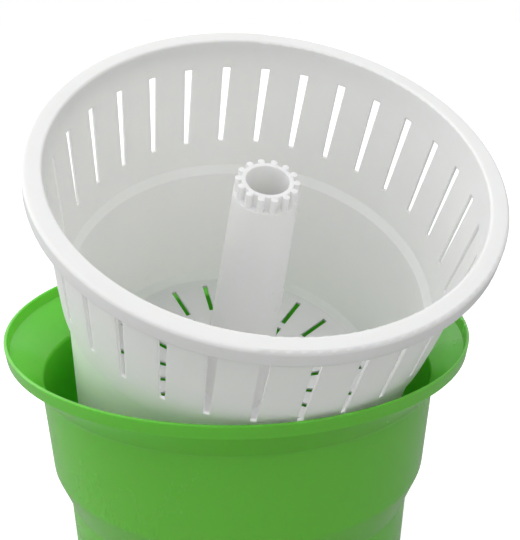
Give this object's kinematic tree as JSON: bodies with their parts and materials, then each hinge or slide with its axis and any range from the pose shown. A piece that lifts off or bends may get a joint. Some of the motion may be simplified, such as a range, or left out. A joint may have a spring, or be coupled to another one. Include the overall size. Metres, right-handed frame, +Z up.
{
  "type": "salad spinner",
  "caption": "Catering hand-cranked salad spinner: flared bucket, perforated basket lifted and tilted in its mouth, geared crank lid set aside.",
  "frame": {"origin": "centre of the bucket's base, on the surface it stands on", "axes": "+Z up along the bucket's axis, -Y towards the side the basket leans to, +Y towards the lid on the table"},
  "size_m": [0.4329, 0.962, 0.6793],
  "materials": {
    "green_plastic": "glossy injection-moulded polypropylene",
    "white_plastic": "satin, slightly translucent polyethylene",
    "column_plastic": "bright white moulded plastic",
    "gear_plastic": "natural acetal",
    "knob_plastic": "dark fine-textured plastic",
    "stainless_steel": "turned and brushed stainless steel",
    "bearing_bronze": "plain sintered bronze",
    "bearing_acetal": "turned acetal",
    "seal_rubber": "soft black rubber"
  },
  "bodies": {
    "bucket": {"bucket": "green_plastic", "pivot_pin": "stainless_steel", "pin_gasket": "seal_rubber", "pin_washer": "stainless_steel", "pin_nut": "stainless_steel"},
    "basket_carrier": {"pivot_sleeve": "bearing_acetal", "sleeve_clip": "stainless_steel"},
    "basket": {"basket": "white_plastic", "centre_column": "column_plastic", "column_screws": "stainless_steel", "bearing_bush": "bearing_bronze"},
    "lid": {"lid": "green_plastic", "upper_bush": "bearing_bronze", "lower_bush": "bearing_bronze"},
    "crank": {"crank_shaft": "stainless_steel", "thrust_washer": "bearing_acetal", "gear_spacer": "bearing_acetal", "gear_washer": "stainless_steel", "gear_bolt": "stainless_steel", "arm_bolt": "stainless_steel", "crank_arm": "stainless_steel", "drive_gear": "gear_plastic", "knob_spindle": "stainless_steel", "knob_washer": "stainless_steel", "spindle_nut": "stainless_steel"},
    "knob": {"crank_knob": "knob_plastic"}
  },
  "joints": [
    {"name": "basket_lift", "type": "slide", "parent": "bucket", "child": "basket_carrier", "axis": [0.1121, -0.4526, 0.8846], "range_m": [0, 0.3]},
    {"name": "basket_spin", "type": "hinge", "parent": "basket_carrier", "child": "basket", "pos_m": [0.0277, -0.1029, 0.5908], "axis": [0.1121, -0.4526, 0.8846], "continuous": true},
    {"name": "lid_lift", "type": "slide", "parent": "bucket", "child": "lid", "axis": [0, 0, 1], "range_m": [0, 0.25]},
    {"name": "crank_turn", "type": "hinge", "parent": "lid", "child": "crank", "pos_m": [0.0924, 0.48, 0.062], "axis": [0, 0, 1], "continuous": true},
    {"name": "knob_spin", "type": "hinge", "parent": "crank", "child": "knob", "pos_m": [0.00147, 0.5325, 0.15], "axis": [0, 0, 1], "continuous": true}
  ]
}
